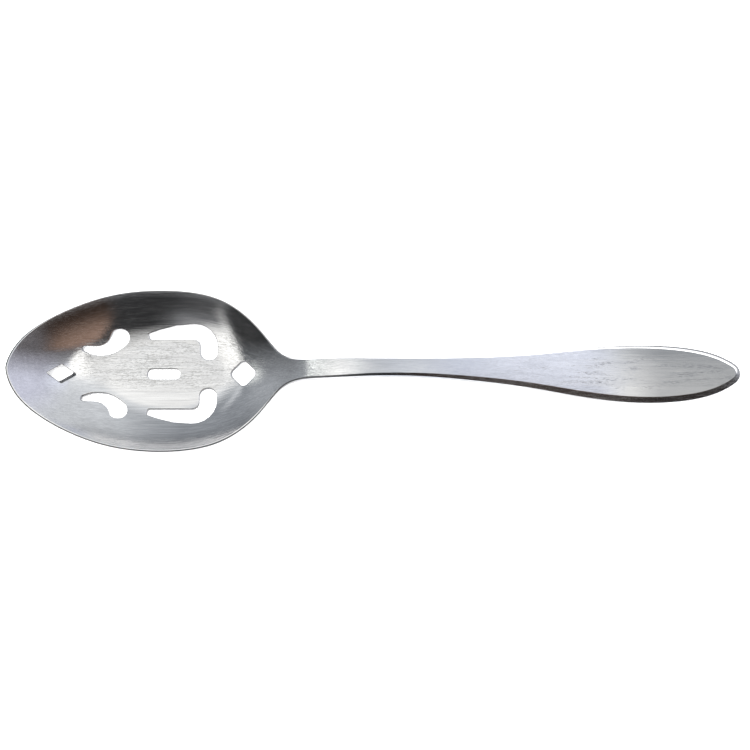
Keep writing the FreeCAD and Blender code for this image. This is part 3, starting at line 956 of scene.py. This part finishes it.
# %% Wear on the bowl and the handle
def bowl_scuffs(tree, x, y, brushed, cloud):
    """Short scratches and a net of fine creases on an oval of the floor, uneven like the cloud."""
    along, across = (x - WIDEST) / SCUFFED_LENGTH, (y - SCUFFED_OFF) / SCUFFED_WIDTH
    on_floor = 1 - between(tree.math("SQRT", along * along + across * across), 0.7, 1.3)
    scuff = streaks(tree, brushed, length=1.1, width=0.24, detail=3.0, seed=5.3)
    scratch = streaks(tree, brushed, length=4.5, width=0.3, detail=3.0, seed=6.4)
    warp = streaks(tree, brushed, length=2.0, width=1.2, seed=4.4)
    inputs = {"X": x / 1.5 + 1.4 * warp, "Y": y / 0.62 + 1.6 * warp, "Z": 0.0}
    cells = tree.node("ShaderNodeCombineXYZ", None, inputs)
    settings = {"feature": "DISTANCE_TO_EDGE", "voronoi_dimensions": "2D"}
    network = tree.node("ShaderNodeTexVoronoi", settings, {"Vector": cells, "Scale": 1.0})
    creases = 1 - between(network, 0.0, 0.16)
    scuffs = 0.9 * between(scuff, 0.5, 0.64) + 0.8 * creases * between(scratch, 0.4, 0.6)
    scuffs = scuffs + 0.8 * between(scratch, 0.54, 0.66)
    return clamp(scuffs * (0.4 + 0.6 * between(cloud, 0.35, 0.6)) * on_floor)


def handle_pits(tree, x, y, brushed):
    """Small pits in a few patches along the middle of the handle."""
    beside = between(tree.math("ABSOLUTE", y + 0.5), *PITS_ACROSS)
    on_handle = between(x, *PITS_START) * (1 - beside)
    patches = between(streaks(tree, brushed, length=14.0, width=4.0, seed=1.9), 0.47, 0.7) * on_handle
    pits = streaks(tree, brushed, length=1.3, width=0.3, detail=4.0, seed=2.6)
    return between(pits, 0.52, 0.64) * patches


# %% The finish
def steel_colour(tree, grain, scuffs, shaded, pits_and_end_shade, finish_and_shade):
    """From the brushed ground over scuffs, painted shade and pits to the edges: light where polished,
    partly a painted highlight, and dark where raw, partly painted shade.
    """
    colour = blend_colour(tree, clamp(grain), SOFT_STEEL, STEEL)
    colour = blend_colour(tree, 0.7 * scuffs, colour, SCUFF_STEEL)
    # Painted shade on the shank
    colour = blend_colour(tree, 0.9 * shaded, colour, SHADED_STEEL)
    # Pits, and painted shade at the handle's end
    colour = blend_colour(tree, pits_and_end_shade, colour, PITTED_AND_SHADED_STEEL)
    # Polished edges painted light, partly as a painted highlight
    colour = blend_colour(tree, clamp(-finish_and_shade), colour, POLISH_AND_HIGHLIGHT_STEEL)
    # Raw edges painted dark, partly as painted shade
    return blend_colour(tree, clamp(finish_and_shade), colour, RAW_EDGE_AND_SHADE_STEEL)


def brushed_steel():
    material = bpy.data.materials.new("brushed_steel")
    material.use_nodes = True
    material.node_tree.nodes.clear()
    tree = Tree(material.node_tree)
    spot = tree.node("ShaderNodeTexCoord", out="Object")
    x, y, z = (part(spot, axis) / MM for axis in ("X", "Y", "Z"))
    inward = between(x, *DRAWN_IN) * clamp(y / 4.0, -1.0, 1.0)
    brushed = (x, y + 9.0 * inward, z)

    fine = streaks(tree, brushed, length=9.0, width=0.22, detail=3.0)
    lines = streaks(tree, brushed, length=24.0, width=0.5, detail=3.0, seed=3.7)
    cloud = streaks(tree, brushed, length=14.0, width=4.0, detail=3.0, seed=8.1)
    scuffs = bowl_scuffs(tree, x, y, brushed, cloud)
    pits = handle_pits(tree, x, y, brushed)

    grain = 0.5 + 1.5 * (lines - 0.5) + 1.3 * (fine - 0.5) + 1.0 * (cloud - 0.5)
    # Painted shade on the shank
    shaded = between(x, *SHADE_STARTS) * (1 - between(x, *SHADE_ENDS))
    # Pits, and painted shade at the handle's end, uneven like the cloud
    pits_and_end_shade = clamp(pits + between(x, *END_SHADE) * (0.8 + 0.4 * cloud))
    # Dark where an edge is raw, partly painted shade; light where polished, partly a painted highlight
    finish_and_shade = tree.node("ShaderNodeAttribute", {"attribute_name": "finish_and_shade"}, None, out="Fac")
    edge = clamp(finish_and_shade)
    relief = fine + 1.4 * lines - 0.6 * scuffs - 1.0 * pits
    haze = clamp(0.35 + 3.0 * (lines - 0.5) + 2.2 * (fine - 0.5) + 1.0 * (cloud - 0.5))
    inputs = {"Strength": 1.0, "Distance": 0.012 * MM, "Height": relief}
    shader = tree.node(
        "ShaderNodeBsdfPrincipled",
        None,
        {
            "Base Color": steel_colour(tree, grain, scuffs, shaded, pits_and_end_shade, finish_and_shade),
            "Metallic": 1.0,
            "Roughness": 0.05 + 0.07 * lines + 0.08 * scuffs + 0.12 * pits + 0.3 * edge,
            "Normal": tree.node("ShaderNodeBump", None, inputs),
            "Coat Weight": haze * (1 - edge),
            "Coat Roughness": 0.65,
            "Coat IOR": 1.7,
        },
    )
    tree.node("ShaderNodeOutputMaterial", None, {"Surface": shader})
    return material


steel = brushed_steel()
print("brushed steel:", len(steel.node_tree.nodes), "nodes")


# %% Press the blank and make it a plain mesh
def run_press(piece, tree, values):
    """Sets the inputs by their identifiers, and keeps the evaluated mesh in place of the modifier."""
    modifier = piece.modifiers.new("press", "NODES")
    modifier.node_group = tree
    for item in tree.interface.items_tree:
        if item.in_out == "INPUT" and item.name in values:
            modifier[item.identifier] = values[item.name]
    seen = piece.evaluated_get(bpy.context.evaluated_depsgraph_get())
    plain = bpy.data.meshes.new_from_object(seen)
    piece.modifiers.remove(modifier)
    old = piece.data
    piece.data = plain
    bpy.data.meshes.remove(old)


run_press(spoon, press, {**PRESS, "Steel": steel})
spoon.data.name = "brushed_spoon"
spoon.data.polygons.foreach_set("use_smooth", [True] * len(spoon.data.polygons))
for name in ("share", "drop", "lean"):
    spoon.data.attributes.remove(spoon.data.attributes[name])
heights = [v.co.z / MM for v in spoon.data.vertices]
print("pressed: %d faces, %.2f to %.2f mm high" % (len(spoon.data.polygons), min(heights), max(heights)))

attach(spoon, "root")
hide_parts(NODE)

# %% [markdown]
# ## Floor, light and camera
#
# Metal has no colour of its own to speak of: what shows is what it mirrors.  So the light is a plain
# studio: a soft ceiling light above, a dim front where the photographer stands, a greyer back.  Lamps
# and cards could stand round the spoon, but one sky of soft fields is simpler: its colour depends only
# on the direction that the steel mirrors.  The floor has a lamp of its own, which the steel leaves out.

# %% Floor
FLOOR_REACH = 3.0
FLOOR_DROP = 0.05 * MM
PALE_GREY = (0.9, 0.9, 0.9, 1.0)
FLOOR_ROUGHNESS = 0.9
FLOOR_SHINE = 0.1


def plain_floor():
    """A pale floor, a hair below the spoon so that the two don't lie in one plane."""
    mesh = bpy.data.meshes.new("floor")
    reach = FLOOR_REACH
    corners = [(-reach, -reach, 0.0), (reach, -reach, 0.0), (reach, reach, 0.0), (-reach, reach, 0.0)]
    mesh.from_pydata(corners, [], [(0, 1, 2, 3)])
    floor = bpy.data.objects.new("floor", mesh)
    bpy.context.scene.collection.objects.link(floor)
    material = bpy.data.materials.new("pale_floor")
    material.use_nodes = True
    shader = material.node_tree.nodes["Principled BSDF"]
    shader.inputs["Base Color"].default_value = PALE_GREY
    shader.inputs["Roughness"].default_value = FLOOR_ROUGHNESS
    shader.inputs["Specular IOR Level"].default_value = FLOOR_SHINE
    mesh.materials.append(material)
    floor.location.z = -FLOOR_DROP
    return floor


plain_floor()
print("floor: %.0f m square" % (2 * FLOOR_REACH))

# %% [markdown]
# A place in the sky is the direction of a ray, as a unit vector: x to the right, y to the rear and z up.
# Each field is a tone with soft limits on these three, and later fields lie over earlier ones.

# %% Tones of the sky
BLACK = (0.0, 0.0, 0.0, 1.0)
PALE = (1.0, 1.01, 1.03, 1.0)
BROWN = (0.40, 0.265, 0.20, 1.0)
DARK_RIGHT = (0.17, 0.16, 0.165, 1.0)
REAR_LEFT = (0.37, 0.395, 0.42, 1.0)
REAR = (0.85, 0.88, 0.90, 1.0)
RIGHT = (0.84, 0.86, 0.99, 1.0)
CEILING = (1.7, 1.69, 1.62, 1.0)
CEILING_REAR = (1.03, 1.06, 1.07, 1.0)
CEILING_RIGHT = (1.1, 1.15, 1.28, 1.0)
CREASE = (0.95, 0.98, 1.0, 1.0)
STRIP = (1.85, 1.9, 1.82, 1.0)


# %% Front and rear of the sky
def front_field(tree, x, y, z):
    """The dim side, where the photographer stands: charcoal, and brown to the right."""
    inner = between(x, -0.56, -0.51)
    leftwards = between(-x, 0.1, 0.4)
    upper_left = between(-x, 0.1, 0.25) * between(z, 0.42, 0.8)
    dim = 0.045 + inner * 0.05 * leftwards + inner * 0.22 * upper_left
    charcoal = blend_colour(tree, dim, BLACK, PALE)
    upwards = between(z, 0.3, 0.88)
    brown = blend_colour(tree, 0.12 + 0.88 * upwards, BLACK, BROWN)
    beside = tree.math("MAXIMUM", between(x, 0.55, 0.8), between(y, -0.45, -0.3))
    brown = blend_colour(tree, beside, brown, DARK_RIGHT)
    front = blend_colour(tree, between(x, 0.12, 0.165), charcoal, brown)
    low = 1 - between(z, 0.1, 0.28)
    return blend_colour(tree, 0.32 * low, front, PALE)


def rear_field(tree, x, y, z):
    """The side behind the spoon: light straight behind and to the right, greyer to the left."""
    rear = blend_colour(tree, between(x, -0.28, 0.15), REAR_LEFT, REAR)
    far_left = between(-x, 0.55, 0.75)
    rear = blend_colour(tree, 0.25 * far_left, rear, REAR)
    low_left = (1 - between(z, 0.0, 0.5)) * (1 - between(x, 0.15, 0.35))
    rear = blend_colour(tree, 0.35 * low_left, rear, BLACK)
    return blend_colour(tree, between(x, 0.35, 0.75), rear, RIGHT)


# %% Ceiling of the sky
def ceiling_share(x, y):
    """How much of the ceiling light shows: its front edge is soft in the middle and crisp to the right."""
    edge = -0.05 - 0.43 * between(-x, 0.15, 0.42) - 0.24 * between(x, 0.14, 0.22)
    edge = edge + 0.34 * between(x, 0.26, 0.5)
    soft = 0.46 - 0.38 * between(x, 0.0, 0.14) - 0.3 * between(-x, 0.2, 0.42)
    rear_edge = y + 0.14 * between(-x, 0.2, 0.4)
    share = clamp((y - edge + soft) / (2 * soft)) * (1 - between(rear_edge, 0.22, 0.66))
    return share * between(x, -0.55, -0.515) * (1 - between(x, 0.58, 0.72))


def ceiling_field(tree, x, y):
    ceiling = blend_colour(tree, between(y, 0.12, 0.3), CEILING, CEILING_REAR)
    return blend_colour(tree, between(x, 0.33, 0.47), ceiling, CEILING_RIGHT)


def ridge_share(x, y, z):
    """A thin pale line down the left, where the ceiling light ends."""
    side = x + 0.5 + 0.04 * between(z, 0.42, 0.7)
    line = between(side, -0.02, 0.012) * (1 - between(side, 0.02, 0.07))
    return line * (1 - between(y, -0.45, -0.3)) * between(z, 0.15, 0.85)


def crease_share(tree, x, y):
    """A thin pale line that slants across the left of the rear."""
    off = tree.math("ABSOLUTE", x + 0.588 - 0.26 * y)
    return (1 - between(off, 0.012, 0.04)) * between(y, 0.26, 0.36) * (1 - between(y, 0.44, 0.68))


def strip_share(tree, x, y):
    """A small bright oval to the left."""
    off_x, off_y = (x + 0.64) / 0.115, (y - 0.17) / 0.085
    return 1 - between(tree.math("SQRT", off_x * off_x + off_y * off_y), 0.6, 1.15)


# %% The whole sky
def studio_sky():
    world = bpy.data.worlds.new("studio")
    world.use_nodes = True
    world.node_tree.nodes.clear()
    tree = Tree(world.node_tree)
    way = tree.node("ShaderNodeTexCoord", out="Generated")
    x, y, z = (part(way, axis) for axis in ("X", "Y", "Z"))

    rearwards = clamp((y + 0.35) / 0.7)
    colour = blend_colour(tree, rearwards, front_field(tree, x, y, z), rear_field(tree, x, y, z))
    colour = blend_colour(tree, 0.5 * ridge_share(x, y, z), colour, CEILING)
    colour = blend_colour(tree, ceiling_share(x, y), colour, ceiling_field(tree, x, y))
    colour = blend_colour(tree, 0.8 * crease_share(tree, x, y), colour, CREASE)
    colour = blend_colour(tree, strip_share(tree, x, y), colour, STRIP)

    # Behind the floor's edge the camera itself sees plain grey
    seen = tree.node("ShaderNodeLightPath", out="Is Camera Ray")
    colour = blend_colour(tree, seen, colour, PALE_GREY)
    sky = tree.node("ShaderNodeBackground", None, {"Color": colour, "Strength": 1.0})
    tree.node("ShaderNodeOutputWorld", None, {"Surface": sky})
    return world


bpy.context.scene.world = studio_sky()
print("sky:", len(bpy.context.scene.world.node_tree.nodes), "nodes")


# %% Lamp for the floor
LAMP_SIZE = 1.6
LAMP_POWER = 56.0
LAMP_HEIGHT = 1.4


def floor_lamp():
    """A broad soft lamp overhead that whitens the floor and stays out of the metal's mirror."""
    data = bpy.data.lights.new("overhead", "AREA")
    data.shape = "DISK"
    data.size = LAMP_SIZE
    data.energy = LAMP_POWER
    lamp = bpy.data.objects.new("overhead", data)
    lamp.location = (0.0, 0.0, LAMP_HEIGHT)
    lamp.visible_glossy = False
    bpy.context.scene.collection.objects.link(lamp)


floor_lamp()
print("lamp: %.0f W, %.1f m up" % (LAMP_POWER, LAMP_HEIGHT))

# %% [markdown]
# The camera looks down on the spoon, nine degrees off upright, from 350 mm away.  That is close, so the
# raised shank is drawn larger than the bowl, as in the photograph.  The focal length is given in pixels,
# as it is when it is worked out from a picture.

# %% Camera
PICTURE = 750
FOCAL = 1181.1
SENSOR = 36.0
TARGET = Vector((-0.96, -0.1, 0.0)) * MM
AWAY = 350.0 * MM
ELEVATION = math.radians(81.0)
NEAREST = 0.01


def place_camera():
    data = bpy.data.cameras.new("camera")
    data.sensor_width = SENSOR
    data.lens = FOCAL / PICTURE * SENSOR
    data.clip_start = NEAREST
    camera = bpy.data.objects.new("camera", data)
    back = Vector((0.0, -math.cos(ELEVATION), math.sin(ELEVATION)))
    camera.location = TARGET + back * AWAY
    camera.rotation_mode = "QUATERNION"
    camera.rotation_quaternion = (-back).to_track_quat("-Z", "Y")
    bpy.context.scene.collection.objects.link(camera)
    bpy.context.scene.camera = camera


place_camera()
bpy.context.scene.view_settings.view_transform = "Standard"
print("camera: %.0f mm away, %.0f degrees up" % (AWAY / MM, math.degrees(ELEVATION)))
